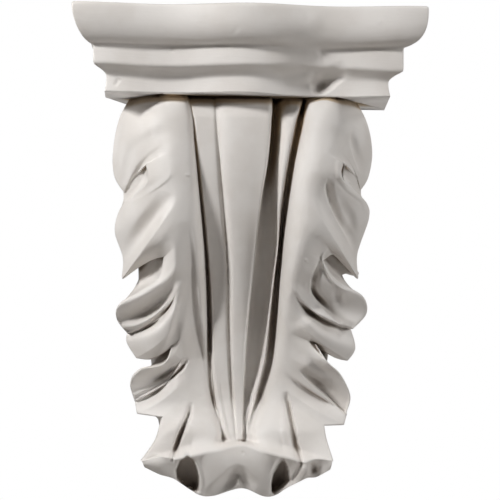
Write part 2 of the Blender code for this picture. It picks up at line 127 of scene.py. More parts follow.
# How far the channel has risen towards the blade at that wall's foot and at its top
FLOOR_RISE = 0.04
FACET_RISE = 0.86
BLADE_EDGE = {"left": (29.5, 28.9, 27, 24.6, 22.2, 19.7, 17.2, 15.5, 15, 13.2, 10),
              "right": (30, 29.3, 26, 21.8, 19.2, 18.1, 16.3, 14.7, 12.5, 7.5, 3)}
BLADE_OUT = {"left": (58, 71, 77, 76, 70, 60, 50, 42, 37, 35, 42),
             "right": (60, 71, 76, 76, 70, 61, 50, 42, 37, 35, 42)}
LOBE_FOOT_OUT = {"left": (58, 71, 76, 74, 67, 57, 46, 37, 32, 32, 44),
                 "right": (50, 62, 67, 67, 61, 51, 41, 34, 31, 31, 43)}
LOBE_FOOT = {"left": (30, 29.7, 28.5, 26, 23.6, 21.2, 19.2, 18, 17.3, 15, 11.5),
             "right": (30.8, 30.2, 29, 24.8, 22.2, 20.4, 19.6, 18.8, 17, 11.5, 6)}
LOBE_CREST = {"left": (39, 38.6, 38.2, 37.4, 36.6, 35.5, 34.2, 33, 31.5, 28, 20),
              "right": (43, 42, 40, 36, 32, 28, 25.2, 24.2, 23.6, 21, 14)}
LOBE_OUT = (64, 78, 82.5, 84, 82.5, 77.5, 66.5, 53, 42.5, 40.5, 50.5)
# How late the leaf falls away outside the lobe's crest, and where past the side that stops
LOBE_FALL = {"left": 1.9, "right": 1.6}
LOBE_FALL_END = 1.15
SIDE_OUT = (40, 44, 47, 50, 48, 45, 43, 41, 40, 42, 54)

# How sharply a leaflet's swell peaks, and where the groove beside the lobe lies between
# the blade's edge and the lobe's foot
SWELL_PEAK = 1.2
GROOVE_PLACE = 0.55

# Each spoke runs from the lobe's crest (root, its level there) to a point on the
# leaf's edge (across, down), where the leaf stands so far out. Swell lifts or hollows
# it half way along and sag bows it down. The edge's curve breaks at the spokes whose
# names end in one of these words.
CORNERS = ("tip", "eye", "fold", "notch", "corner")
SPOKES = {
    "left": (
        # name, root, across, down, out, swell, sag
        ("hood top", -6, 56, -6, 40, 0, 0),
        ("hood shoulder", 6, 64.8, 10, 44, 1, -0.2),
        ("hood side", 14.5, 68.2, 28, 47, 2, -0.4),
        ("hood flank", 19.5, 67.5, 41, 47, 0, -0.5),
        ("hood tip", 22.5, 62.6, 49.5, 49, 0, -0.5),
        ("first eye over", 25.5, 56.7, 41.3, 60, 0, -0.4),
        ("first eye", 30.5, 51.2, 35.9, 76, 0, -0.1),
        ("first eye under", 36, 50.2, 45, 76, 0, 0.3),
        ("second lip", 40, 56.6, 52.4, 64, 0, 0.4),
        ("second shoulder", 43, 64, 58.5, 52, -2, 0.3),
        ("second side", 46, 67.1, 70.5, 46, -4, 0.2),
        ("second bend", 50, 62.8, 84.3, 42, -4, 0.1),
        ("second tip", 57, 63.3, 95.4, 41, 3, 0),
        ("second edge", 65, 54.8, 89, 47, 3, 0),
        ("second eye over", 72, 47, 84.7, 56, 1, 0),
        ("second eye", 78, 41.4, 83.5, 64, 0, 0.1),
        ("second eye under", 84, 43.9, 95.2, 60, -1, 0.3),
        ("third lip", 88, 54.2, 102.7, 56, -1, 0.6),
        ("third shoulder", 91, 64.8, 109.7, 52, -4, 0.65),
        ("third side", 94, 65.8, 117.2, 46, -6, 0.65),
        ("third fold", 97, 60.6, 124.4, 42, -1, 0.65),
        ("fourth fold", 98.5, 60.2, 125.2, 36, -4, 0.65),
        ("fourth side", 107, 60.5, 130.1, 36, 4, 0.5),
        ("fourth tip", 115, 55.6, 138.2, 35, 5, 0.3),
        ("fourth edge", 122, 47.1, 138.2, 39, 3, 0),
        ("third eye", 127, 36.6, 131, 46, 0, 0.1),
        ("third eye under", 132, 40.8, 141, 44, 0, 0.5),
        ("fifth shoulder", 137, 54, 144.4, 48, -1, 0.85),
        ("fifth side", 139, 58.5, 151.4, 44, -4, 0.7),
        ("fifth fold", 141.5, 56.3, 160.8, 39.5, 0, 0.3),
        ("sixth fold", 143, 56, 161.6, 37, -3, 0.3),
        ("sixth tip", 150, 55, 167.7, 40, 3, 0.2),
        ("notch", 156, 41.7, 169.2, 45, 1, 0.1),
        ("skirt side", 166, 45.4, 181.2, 51, 0, 0),
        ("skirt corner", 184.5, 52.8, 191.5, 57, 0, 0),
    ),
    "right": (
        ("hood top", -6, 57, -6, 40, 0, 0),
        ("hood shoulder", 6, 65.7, 10.5, 44, 1, -0.2),
        ("hood side", 14, 68.6, 27, 47, 2, -0.4),
        ("hood flank", 19, 66.7, 40.5, 47, 0, -0.5),
        ("hood tip", 22, 62.4, 47.5, 49, 0, -0.5),
        ("first eye over", 25, 58.5, 40.5, 58, 0, -0.4),
        ("first eye", 30, 51.1, 35, 76, 0, -0.1),
        ("first eye under", 35, 50, 43, 76, 0, 0.3),
        ("second lip", 39, 56.8, 48.6, 64, 0, 0.4),
        ("second shoulder", 42, 65.4, 55.5, 52, -2, 0.3),
        ("second side", 45, 66.9, 63.4, 47, -4, 0.2),
        ("second bend", 49, 61.4, 82, 43, -4, 0.1),
        ("second tip", 56, 62.3, 94.9, 41, 3, 0),
        ("second edge", 64, 53.9, 87, 49, 3, 0),
        ("second eye over", 70, 47, 82, 59, 1, 0),
        ("second eye", 77, 40.7, 85.5, 64, 0, 0.1),
        ("second eye under", 82, 46.5, 93.8, 58, -1, 0.3),
        ("third lip", 86, 54.6, 99.6, 54, -2, 0.45),
        ("third shoulder", 90, 64.2, 105.5, 49, -4, 0.45),
        ("third side", 95, 66.6, 114, 42, -6, 0.45),
        ("third fold", 99, 59.2, 122, 44, 1, 0.45),
        ("fourth fold", 100.5, 58.9, 122.8, 36, -4, 0.45),
        ("fourth side", 107, 61.4, 133, 36, 4, 0.35),
        ("fourth tip", 113, 57.7, 139.4, 35, 5, 0.2),
        ("fourth edge", 118, 50.3, 137.3, 38, 3, 0),
        ("third eye", 124, 38.7, 130, 46, 0, 0),
        ("third eye under", 130, 44.7, 139.8, 51, 1, 0.2),
        ("fifth shoulder", 136, 53.1, 147.5, 41, 3, 0.3),
        ("fifth side", 141, 58.9, 159, 35, 2, 0.2),
        ("fifth fold", 145, 57.2, 167.4, 34, 2, 0.1),
        ("sixth fold", 146.5, 56.9, 168.2, 37, -3, 0.1),
        ("sixth tip", 154, 55.1, 173.8, 40, 3, 0.1),
        ("notch", 160, 43.7, 173.7, 45, 1, 0),
        ("skirt side", 169, 44.6, 181.3, 50, 0, 0),
        ("skirt corner", 184.5, 47.3, 191.5, 57, 0, 0),
    ),
}

# The foot's curl, read across from the centre: where the leaf turns over (the lip),
# where its under edge hangs, and how far the face between them stands out
CURL = {
    # across of lip, down of lip, out of lip, across of edge, down of edge, out of edge, swell
    "left": ((0, 182.6, 55, 0, 207.4, 45, 5),
             (14.5, 185.6, 57.5, 14, 211.6, 44, 3),
             (22, 187.3, 58, 21.5, 211.4, 43, 0),
             (28, 188.7, 60, 29, 207, 46, -4),
             (35.6, 190, 59, 36, 201.6, 50, -1),
             (43.4, 188.9, 58, 43.3, 199.3, 51, 3),
             (52.8, 191.5, 57, 51.5, 195, 54, 1)),
    "right": ((0, 182.6, 55, 0, 207.4, 45, 5),
              (10.3, 186.1, 57, 12, 212, 43, 3),
              (17, 187.9, 57.5, 18.5, 211.6, 42, -1),
              (24.6, 189.7, 60, 24, 207.5, 45, -4),
              (31.6, 191.7, 59, 34, 201.8, 49, 2),
              (39, 190.2, 58, 39.6, 200.8, 51, -2),
              (47.3, 191.5, 57, 46.5, 196.5, 54, 1)),
}

# The solid core behind the leaf: half width, and how far out its sides reach, at the
# levels above and at its foot
CORE_HALF_WIDTH = (56, 58, 60, 62, 61, 56, 54, 52, 48, 46, 43, 38)
CORE_NECK_OUT = (24, 25, 27, 30, 29, 27, 26, 25, 24, 24, 24, 24)
CORE_FOOT_LEVEL = 199.0
CORE_FOOT_SAG = 0.006
# Its rows are spaced as the spokes are, evened over so many spaces either way and then
# drawn by a share towards even spacing
SPOKE_SPACES = 2
CURL_SPACES = 6
CORE_EVENING = 6
CORE_EVEN_SHARE = 0.3
# From this level down, the rows bow to meet the curl's lip at the centre
BOW_START = 150.0
BOW_POWER = 3


def blend(first, second, share):
    return first + (second - first) * share


def curve_step(before, start, end, after, share):
    """One span of a Catmull-Rom curve."""
    pull_start = (end - before) / 2
    pull_end = (after - start) / 2
    cube, square = share ** 3, share ** 2
    return ((2 * cube - 3 * square + 1) * start + (cube - 2 * square + share) * pull_start
            + (3 * square - 2 * cube) * end + (cube - square) * pull_end)


def table_at(levels, values, level):
    """Read a table at a level by a smooth curve through its rows."""
    if level <= levels[0]:
        return values[0]
    if level >= levels[-1]:
        return values[-1]
    upper = max(i for i in range(len(levels) - 1) if levels[i] <= level)
    share = (level - levels[upper]) / (levels[upper + 1] - levels[upper])
    before = values[max(upper - 1, 0)]
    after = values[min(upper + 2, len(values) - 1)]
    return curve_step(before, values[upper], values[upper + 1], after, share)


def level_value(values, level):
    return table_at(LEVELS, values, level)


def lobe_surface(side, across, down):
    """How far out the lobe's rounded back stands, outside its crest."""
    crest = level_value(LOBE_CREST[side], down)
    crest_out = level_value(LOBE_OUT, down)
    side_out = level_value(SIDE_OUT, down)
    reach = max(0.0, (across - crest) / (PATTERN_WIDTH / 2 - crest))
    return crest_out - (crest_out - side_out) * min(reach, LOBE_FALL_END) ** LOBE_FALL[side]


def spoke_steps():
    """How many rows each span between spokes takes, the same on both sides."""
    steps = []
    for index in range(len(SPOKES["left"]) - 1):
        longest = 0.0
        for side in SPOKES:
            here, there = SPOKES[side][index], SPOKES[side][index + 1]
            longest = max(longest, math.dist(here[2:4], there[2:4]))
        fold = here[0].endswith("fold") and there[0].endswith("fold")
        steps.append(FOLD_ROWS if fold else max(FEWEST_ROWS, math.ceil(longest / ROW_PITCH)))
    return steps


def spoke_rows(side):
    """Every row of the leaf: root level, edge across, down and out, swell and sag."""
    spokes = SPOKES[side]
    rows = []
    for index, steps in enumerate(spoke_steps()):
        here, there = spokes[index], spokes[index + 1]
        before = spokes[index - 1] if index and not here[0].endswith(CORNERS) else here
        after = there if there[0].endswith(CORNERS) else spokes[index + 2]
        for step in range(steps):
            share = step / steps
            values = [curve_step(before[k], here[k], there[k], after[k], share) for k in range(2, 7)]
            rows.append((blend(here[1], there[1], share), *values))
    rows.append(spokes[-1][1:])
    return rows


def leaflet_part(side, row):
    """Points along one row from just past the lobe's crest to the leaf's edge."""
    root, edge_across, edge_down, edge_out, swell, sag = row
    crest = level_value(LOBE_CREST[side], root)
    start = Vector((crest, root))
    end = Vector((edge_across, edge_down))
    control = Vector((blend(crest, edge_across, 0.5 - sag / 2), blend(root, edge_down, 0.5 + sag / 2)))
    missing = edge_out - lobe_surface(side, edge_across, edge_down)
    points = []
    for step in range(1, LEAFLET_COLUMNS + 1):
        share = step / LEAFLET_COLUMNS
        place = start * (1 - share) ** 2 + control * 2 * share * (1 - share) + end * share ** 2
        hump = math.sin(math.pi * share) ** SWELL_PEAK
        out = lobe_surface(side, place.x, place.y) + missing * share ** 2 + swell * hump
        points.append((place.x, place.y, out))
    return points


def rib_surface(side, share, level):
    """The middle rib's face: a roll on the left, one shallow dip and a rim on the right."""
    place = share if side == "right" else -share
    fall = table_at(RIB_SECTION_PLACES, RIB_SECTION_FALLS, place)
    return level_value(RIB_OUT, level) - level_value(FURROW_DEPTH, level) * fall


def flute_part(side, level, centre_level):
    """Points from the centre line to the lobe's crest at one level."""
    rib_edge = level_value(RIB_EDGE[side], level)
    rib_out = level_value(RIB_OUT, level)
    furrow = rib_out - level_value(FURROW_DEPTH, level) * FURROW_SHARE[side]
    blade = level_value(BLADE_EDGE[side], level)
    blade_out = level_value(BLADE_OUT[side], level)
    foot = level_value(LOBE_FOOT[side], level)
    foot_out = level_value(LOBE_FOOT_OUT[side], level)
    crest = level_value(LOBE_CREST[side], level)
    crest_out = level_value(LOBE_OUT, level)
    stations = []
    for step in range(RIB_COLUMNS + 1):
        share = step / RIB_COLUMNS
        stations.append((rib_edge * share, rib_surface(side, share, level)))
    wall_foot = (rib_edge + RIB_WALL_RUN, furrow)
    groove = (blend(blade, foot, GROOVE_PLACE), foot_out)
    wall = level_value(CHANNEL_WALL, level)
    turns, rises, stops = (0, 1), (0, 1), (0, BLADE_COLUMNS)
    if side == "right":
        turns = (0, wall - WALL_RUN, wall, 1)
        rises = (0, FLOOR_RISE, FACET_RISE, 1)
        stops = (0, CHANNEL_COLUMNS, CHANNEL_COLUMNS + 1, BLADE_COLUMNS)
    for start, end, count in ((stations[-1], wall_foot, WALL_COLUMNS),
                              (wall_foot, (blade, blade_out), BLADE_COLUMNS),
                              ((blade, blade_out), groove, GROOVE_COLUMNS)):
        for step in range(1, count + 1):
            share = rise = step / count
            if start is wall_foot:
                share = np.interp(step, stops, turns)
                rise = np.interp(share, turns, rises)
            stations.append((blend(start[0], end[0], share), blend(start[1], end[1], rise)))
    for step in range(1, LOBE_COLUMNS + 1):
        angle = math.pi / 2 * step / LOBE_COLUMNS
        across = blend(foot, crest, 1 - math.cos(angle))
        stations.append((across, blend(foot_out, crest_out, math.sin(angle))))
    slope = (level - centre_level) / crest
    return [(across, centre_level + slope * across, out) for across, out in stations]


def row_places():
    """Where each row stands on an even count of two spaces to a spoke, and six down the curl."""
    places = []
    passed = 0.0
    for index, steps in enumerate(spoke_steps()):
        spaces = 1 if steps == FOLD_ROWS else SPOKE_SPACES
        places += [passed + spaces * step / steps for step in range(steps)]
        passed += spaces
    return places + [passed + CURL_SPACES * step / CURL_ROWS for step in range(CURL_ROWS + 1)]


def core_levels(rims):
    """How far down each row meets the core: the leaf's edge with its ins and outs evened out."""
    places = row_places()
    stops = np.arange(int(places[-1]) + 1)
    downs = np.interp(stops, places, [rim[1] for rim in rims])
    evened = [downs[max(stop - CORE_EVENING, 0):stop + CORE_EVENING + 1].mean() for stop in stops]
    evened = np.maximum.accumulate(evened)
    shares = (evened - evened[0]) / (evened[-1] - evened[0])
    shares = blend(shares, stops / stops[-1], CORE_EVEN_SHARE)
    levels = blend(-ROOT_LAP * 1000, CORE_FOOT_LEVEL, shares)
    return np.interp(places, stops, levels)


def edge_part(rims, index, level):
    """Round the leaf's edge, then in under it to the core and back to the wall."""
    across, down, out = rims[index]
    first, last = rims[max(index - EDGE_SPAN, 0)], rims[min(index + EDGE_SPAN, len(rims) - 1)]
    along = Vector((last[0] - first[0], last[1] - first[1]))
    outwards = Vector((0.0, 0.0))
    if along.length > EDGE_SHORTEST:
        outwards = Vector((along.y, -along.x)).normalized()
    levels = LEVELS + (CORE_FOOT_LEVEL,)
    core = table_at(levels, CORE_HALF_WIDTH, level)
    points = []
    for step in range(1, EDGE_COLUMNS + 1):
        angle = math.pi * step / EDGE_COLUMNS
        bulge = EDGE_BULGE * math.sin(angle)
        points.append((across + outwards.x * bulge, down + outwards.y * bulge,
                       out - EDGE_THICKNESS * (1 - math.cos(angle)) / 2))
    back = points[-1]
    neck = (core, level, table_at(levels, CORE_NECK_OUT, level))
    for step in range(1, UNDER_COLUMNS + 1):
        points.append(tuple(blend(start, end, step / UNDER_COLUMNS) for start, end in zip(back, neck)))
    for step in range(1, SIDE_COLUMNS + 1):
        points.append((core, level, neck[2] * (1 - step / SIDE_COLUMNS)))
    return points


def curl_point(side, across, share):
    """A point on the curl's face, from the lip (share 0) to the hanging edge (share 1)."""
    other = CURL["right" if side == "left" else "left"][1]
    stations = ((-other[0], other[1], other[2], -other[3], *other[4:]),) + CURL[side]
    lips = [station[0] for station in stations]
    lip_across, lip_down, lip_out, edge_across, edge_down, edge_out, swell = (
        table_at(lips, [station[field] for station in stations], across) for field in range(7))
    return (blend(lip_across, edge_across, share), blend(lip_down, edge_down, share),
            blend(lip_out, edge_out, share) + swell * math.sin(math.pi * share))


def half_rows(side):
    """All rows of one half, each a list of (across, down, out) from the centre outwards."""
    spokes = spoke_rows(side)
    curl_start = CURL[side][0][1]
    rows = []
    for row in spokes[:-1]:
        root = row[0]
        bow = max(0.0, (root - BOW_START) / (spokes[-1][0] - BOW_START)) ** BOW_POWER
        rows.append(flute_part(side, root, blend(root, curl_start, bow)) + leaflet_part(side, row))
    rows[0] = [(across, down, ROOT_OUT + ROOT_BOW * (1 - (across / spokes[0][1]) ** 2))
               for across, down, _ in rows[0]]
    last = flute_part(side, spokes[-1][0], spokes[-1][0]) + leaflet_part(side, spokes[-1])
    for step in range(CURL_ROWS + 1):
        rows.append([curl_point(side, point[0], step / CURL_ROWS) for point in last])
    rims = [row[-1] for row in rows]
    levels = core_levels(rims)
    return [row + edge_part(rims, index, levels[index]) for index, row in enumerate(rows)]


def real_points(side, rows):
    """Stretch pattern points to the leaf's real size and place."""
    pattern = np.array(rows)
    sign = -1 if side == "left" else 1
    drop = CORBEL_HEIGHT - CAP_HEIGHT
    return np.stack((sign * pattern[..., 0] * LEAF_WIDTH / PATTERN_WIDTH,
                     -pattern[..., 2] * LEAF_REACH / PATTERN_REACH,
                     CORBEL_HEIGHT / 2 - CAP_HEIGHT - pattern[..., 1] * drop / PATTERN_DROP), axis=-1)


left_points = real_points("left", half_rows("left"))
right_points = real_points("right", half_rows("right"))
leaf_grid = np.concatenate((left_points[:, :0:-1], right_points), axis=1)
tail = EDGE_COLUMNS + UNDER_COLUMNS + SIDE_COLUMNS


def evened_grid(grid, passes, along_rows, along_columns):
    """Soften a grid of points a little between its neighbours, its border held."""
    for _ in range(passes):
        grid[:, 1:-1] += along_rows * ((grid[:, :-2] + grid[:, 2:]) / 2 - grid[:, 1:-1])
        grid[1:-1] += along_columns * ((grid[:-2] + grid[2:]) / 2 - grid[1:-1])
    return grid


def under_rows(edge_row, left_side, right_side):
    """Rows under the curl, each between two points where the leaf's sides reach that far back."""
    first, last = edge_row[0], edge_row[-1]
    share = ((edge_row[:, 0] - first[0]) / (last[0] - first[0]))[:, None]
    line = first + (last - first) * share
    hang = edge_row[:, 2:] - line[:, 2:]
    stand = edge_row[:, 1:2] - line[:, 1:2]
    rows = []
    for left_end, right_end in zip(left_side, right_side):
        across = left_end + (right_end - left_end) * share
        near = np.abs(across[:, 1:2]) / abs(first[1])
        sag = CORE_FOOT_SAG * 4 * share * (1 - share) * (1 - near)
        rows.append(np.concatenate((across[:, :1], across[:, 1:2] + stand * near,
                                    across[:, 2:] + hang * near - sag), axis=1))
    return rows


# The whole front is softened a little, by this many passes and these shares each way
FRONT_EVENING = (2, 0.5, 0.25)
leaf_grid[:, tail:-tail] = evened_grid(leaf_grid[:, tail:-tail], *FRONT_EVENING)

# The lobes are rounded over their crests, and less so away from them
CREST_REACH = 9
CREST_EVENING = (20, 0.8, 0.2)
CREST_FADE = 0.5
for crest_column in (tail + LEAFLET_COLUMNS, leaf_grid.shape[1] - 1 - tail - LEAFLET_COLUMNS):
    band = leaf_grid[:-CURL_ROWS, crest_column - CREST_REACH:crest_column + CREST_REACH + 1]
    worn = evened_grid(band.copy(), *CREST_EVENING)
    fade = np.cos(np.linspace(-1, 1, 2 * CREST_REACH + 1) * math.pi / 2)[None, :, None] ** CREST_FADE
    band[...] = blend(band, worn, fade)


# The carver's cuts
# Gouge strokes that finish the leaf: each runs along points given over the camera's
# view as (x, y, millimetres deep, less than nothing where it stands proud), and has
# a width on the right hand and on the left hand of the way it runs.
LEAF_STROKES = {
    # left hood and leaflets
    "left hood dimple": (((133, 135, 0), (131, 150, 1.4), (128, 165, 1.8), (125, 180, 0.8)), 7, 6),
    "left hood swell": (((142, 140, 0), (136, 163, -0.8), (127, 183, -0.4)), 5, 7),
    "left second fold": (((170, 193, 0), (165, 204, 1.8), (153, 219, 3.6), (146, 229, 3.6),
        (138, 242, 2.4), (129, 260, 0)), 14, 8),
    "left third trough": (((182, 270, 0), (173, 287, 1.6), (161, 301, 4.4), (148, 311, 5.6),
        (135, 317, 5.0), (121, 320, 2.4)), 17, 9),
    "left third crevice": (((176, 290, 0), (173.5, 298, 1.6), (170, 305.5, 3.8), (161, 315.5, 4.4),
        (148, 325, 3.4), (134, 330.6, 2.6), (126, 331, 2.0)), 5, 1.6),
    "left fourth root": (((183, 292, 0), (180.5, 306, 1.6), (176, 328, 2.2), (170.5, 344, 1.4),
        (164, 356, 0)), 6, 9),
    "left fifth trough": (((181, 360, 0), (168, 373, 3.4), (153, 382, 4.6), (134, 391, 2.0)), 13, 5),
    "left fifth crevice": (((187, 358, 0), (184, 367, 3.6), (175, 375.5, 3.4), (160, 385.3, 2.8),
        (146, 393, 2.4), (134, 399.5, 1.8)), 4.5, 1.8),
    "left skirt crevice": (((191.9, 402, 0), (191, 413, 3.6), (186, 426, 5.4), (180, 441, 5.4),
        (174.5, 458, 3.6)), 6.5, 1.5),
    "left skirt swell": (((187, 417, 0), (177, 425, -0.8), (165, 432, 0)), 6, 7),
    # right hood and leaflets
    "right hood sliver": (((354, 127, 0), (351, 138, 3.0), (352.5, 150, 2.8), (357.5, 164, 1.6),
        (361.5, 174, 0)), 1.5, 9),
    "right second crevice": (((328.7, 178, 0), (327, 186, 4.4), (329.2, 199, 5.0), (333.7, 211, 4.6),
        (341, 225, 3.2), (350, 241, 1.2), (354, 251, 0)), 1.8, 8),
    "right second dip": (((337, 200, 0), (343, 208, 1.4), (348.7, 216, 2.4), (351, 227, 1.8),
        (353, 240, 0)), 8, 8),
    "right second rim": (((338, 164, -0.4), (339.5, 177, -1.0), (347, 188, -1.2), (356, 195, -1.2),
        (364, 202, -0.8), (366, 214, 0)), 4, 4),
    "right third crevice": (((320, 261, 0), (315, 273, 5.0), (313, 284, 6.0), (314.5, 294, 6.0),
        (327.5, 310, 4.2), (343.7, 325.6, 2.6), (350, 328, 1.5)), 2, 8),
    "right third lip": (((330, 250, 0), (325, 252, -1.0), (322, 258, -2.0), (324, 266, -2.4),
        (330, 278, -2.0), (340, 287.5, -0.8), (352, 292, 0)), 2.2, 2.2),
    "right third dip": (((333, 288, 0), (338.7, 297, 2.2), (339, 306, 0.4)), 7, 7),
    "right fourth cut": (((310, 340, 0), (315, 346, 2.6), (320, 352, 2.6), (326, 358, 0)), 3, 5),
    "right fifth trough": (((300.5, 370, 0), (308, 378.5, 4.2), (318, 387.5, 8.6), (331, 399, 8.6),
        (346.5, 414, 3.6)), 1.6, 24),
    "right fifth swell": (((298, 356, 0), (309, 367, -1.6), (320, 376, -1.8), (333, 388, 0)), 7, 9),
    "right skirt crevice": (((288, 391, 0), (289, 400, 2.6), (293.7, 421, 4.4), (298.7, 446, 4.4),
        (303, 461, 3.4)), 8, 1.6),
    "right skirt swell": (((287, 398, 0), (283.5, 420, -0.6), (286, 444, -0.6), (291, 458, 0)), 5, 5),
    # furrows and rims of the flutes
    "left lobe foot": (((194, 118, 0.2), (196.5, 150, 0.6), (200, 180, 0.8), (203, 215, 1.2),
        (206, 250, 2.0), (208, 290, 2.4), (210, 335, 1.8), (214.5, 372, 1.2),
        (223, 440, 0.4)), 2.2, 1.8),
    "left rib foot": (((216, 98, 0.8), (219, 140, 1.4), (222, 180, 1.8), (226, 225, 2.2),
        (229, 270, 2.2), (230, 330, 2.0), (232, 380, 1.8), (236, 436, 0.8)), 4, 1.8),
    "left blade rim": (((212, 350, 0), (217, 386, -1.6), (222, 412, -2.0),
        (229.5, 442, -0.8)), 2.6, 2.6),
    "right lobe foot": (((302, 106, 0.8), (297, 124, 1.4), (291.5, 150, 1.6), (286.5, 180, 1.6),
        (282.5, 210, 1.6), (280, 245, 1.6), (277.5, 280, 1.6), (275.5, 309, 1.6), (273.5, 335, 1.4),
        (271, 357, 1.0), (264, 385, 0.8), (250, 420, 0)), 2.2, 3),
    "right blade rim": (((303, 99, -1.2), (295, 118, -1.4), (288.7, 148, -1.4), (283.7, 179, -1.2),
        (279, 210, -1.2), (275, 272, -1.0), (270, 309, -0.8), (266, 350, -0.6), (260, 372, -1.0),
        (253.7, 388, -1.6), (247.5, 409, -1.8), (242.5, 432, -0.6)), 2, 2),
    "right rib rim": (((272, 98, -0.8), (269, 150, -0.8), (261, 200, -0.8), (254, 270, -0.8),
        (247, 330, -0.6), (241.5, 400, 0)), 2, 3),
    "left lobe flank": (((188, 222, 0), (192, 255, 3.0), (195, 300, 4.6), (200, 340, 5.0),
        (205, 375, 2.4), (210, 400, 0)), 20, 5),
    "right lobe dip": (((285, 322, 0), (297, 318, 2.4), (311, 309, 3.0), (322, 306, 0)), 12, 26),
    # marks the mould left
    "left lobe bead": (((187, 174.5, -0.5), (188.2, 175.5, -0.5)), 2.2, 2.2),
    "right lobe bead": (((305.5, 260, -0.5), (306.5, 260.5, -0.5)), 2.2, 2.2),
    "right lobe long bead": (((305, 284, -0.4), (305, 286, -0.4)), 2.5, 2.5),
    "right second leaflet bead": (((341, 245.5, -0.5), (341, 246.5, -0.5)), 2, 2),
    "left lobe pit": (((200.6, 396.6, 0.5), (201.6, 397.4, 0.5)), 2.2, 2.2),
    "curl pit": (((242.6, 453, 0.4), (243.4, 453, 0.4)), 2.2, 2.2),
    # the curl
    "curl notch": (((256, 489, 0), (246, 481, 3.4), (238, 474, 5.4), (229, 482, 5.0),
        (213, 494, 1.6)), 10, 9),
    "right roll line": (((303.9, 461, 0), (301, 467, 2.4), (296, 475.5, 2.8),
        (290.6, 483.5, 1.0)), 2.6, 2.6),
    "right roll rim": (((308, 461, 0), (307.5, 470, -0.8), (300, 481, -1.2), (288, 490, -1.0),
        (277, 496, 0)), 3, 3),
    "left eye rim": (((193, 458, 0), (198, 466, -1.0), (201.5, 480, -1.2), (201, 492, 0)), 2.5, 3),
    "left roll lip": (((142, 461, -0.3), (152, 455, -0.7), (165, 456, -0.7),
        (178, 458.5, -0.3)), 2.5, 2.5),
    "curl lip": (((196, 457, -0.3), (208, 450.5, -0.8), (224, 445.5, -0.9), (233, 441.2, -1.0),
        (240.6, 438.5, -1.2), (251.7, 443, -1.0), (263, 449.5, -0.8), (271, 454, -0.8),
        (283, 457, -0.3)), 2.4, 2.4),
    "right eye rim": (((283, 457, 0), (277, 464, -1.0), (270.5, 476, -1.2), (269, 490, 0)), 2.5, 3),
}
# Hollows cut in to a floor: their outline over the camera's view, how deep, and how
# wide their walls are
LEAF_HOLLOWS = {
    "left curl eye": (((194.4, 459), (188, 455.5), (179, 460), (175, 470.5), (176, 479), (183, 487),
        (193, 493), (198.8, 492), (200.3, 485), (199.5, 476), (197, 467)), 8.0, 3.2),
    "right curl eye": (((284, 457.5), (278.3, 464), (272.8, 474), (270.6, 484), (271, 492),
        (273.5, 495), (283, 488.5), (290.5, 482), (289.6, 473), (287.5, 464)), 9.0, 3.0),
    "right roll hollow": (((307.5, 463), (314, 461), (320.5, 466), (319, 472), (311, 476.5),
        (308, 475)), 2.6, 4.0),
    "right first eye": (((343, 161), (340, 171), (342, 181), (351, 188.5), (358, 193.5), (357, 184),
        (359, 178), (352.5, 172), (345.5, 165)), 2.6, 2.6),
}
STROKE_SPANS = 4


def smoothed_path(points):
    """Points close together on a smooth curve through a stroke's own points."""
    table = np.array(points, dtype=float)
    stops = np.arange(len(table))
    places = np.linspace(0, len(table) - 1, (len(table) - 1) * STROKE_SPANS + 1)
    return np.array([[table_at(stops, column, place) for column in table.T] for place in places])


def stroke_depth(view, points, right_hand, left_hand):
    """How deep one stroke cuts at each place in the camera's view."""
    path = smoothed_path(points)
    nearest = np.full(len(view), np.inf)
    turned_right = np.zeros(len(view), dtype=bool)
    depth = np.zeros(len(view))
    for start, end in zip(path, path[1:]):
        along = end[:2] - start[:2]
        offset = view - start[:2]
        share = np.clip(offset @ along / (along @ along), 0, 1)
        away = offset - share[:, None] * along
        distance = np.hypot(away[:, 0], away[:, 1])
        closer = distance < nearest
        nearest = np.where(closer, distance, nearest)
        turned_right = np.where(closer, along[0] * offset[:, 1] > along[1] * offset[:, 0], turned_right)
        depth = np.where(closer, blend(start[2], end[2], share), depth)
    spread = nearest / np.where(turned_right, right_hand, left_hand)
    return depth * np.clip(1 - spread ** 2, 0, 1) ** 2


def hollow_depth(view, outline, deep, wall):
    """How deep a hollow is at each place in the camera's view."""
    corners = np.array(outline, dtype=float)
    inside = np.zeros(len(view), dtype=bool)
    distance = np.full(len(view), np.inf)
    for start, end in zip(corners, np.roll(corners, -1, axis=0)):
        along = end - start
        offset = view - start
        share = np.clip(offset @ along / (along @ along), 0, 1)
        distance = np.minimum(distance, np.linalg.norm(offset - share[:, None] * along, axis=1))
        spans = (start[1] > view[:, 1]) != (end[1] > view[:, 1])
        rise = along[1] if along[1] else 1.0
        inside ^= spans & (view[:, 0] < start[0] + along[0] * (view[:, 1] - start[1]) / rise)
    reach = np.clip(distance / wall, 0, 1)
    return np.where(inside, deep * reach ** 2 * (3 - 2 * reach), 0)


def carve(grid, strokes, hollows=None):
    """Press the strokes and hollows into a grid's points, towards the wall."""
    points = grid.reshape(-1, 3)
    view = over_view(points)
    depth = np.zeros(len(points))
    for points_along, right_hand, left_hand in strokes.values():
        depth += stroke_depth(view, points_along, right_hand, left_hand)
    for outline, deep, wall in (hollows or {}).values():
        depth += hollow_depth(view, outline, deep, wall)
    carved = points.copy()
    carved[:, 1] += depth / 1000
    return carved.reshape(grid.shape)


leaf_grid[:, tail:-tail] = carve(leaf_grid[:, tail:-tail], LEAF_STROKES, LEAF_HOLLOWS)


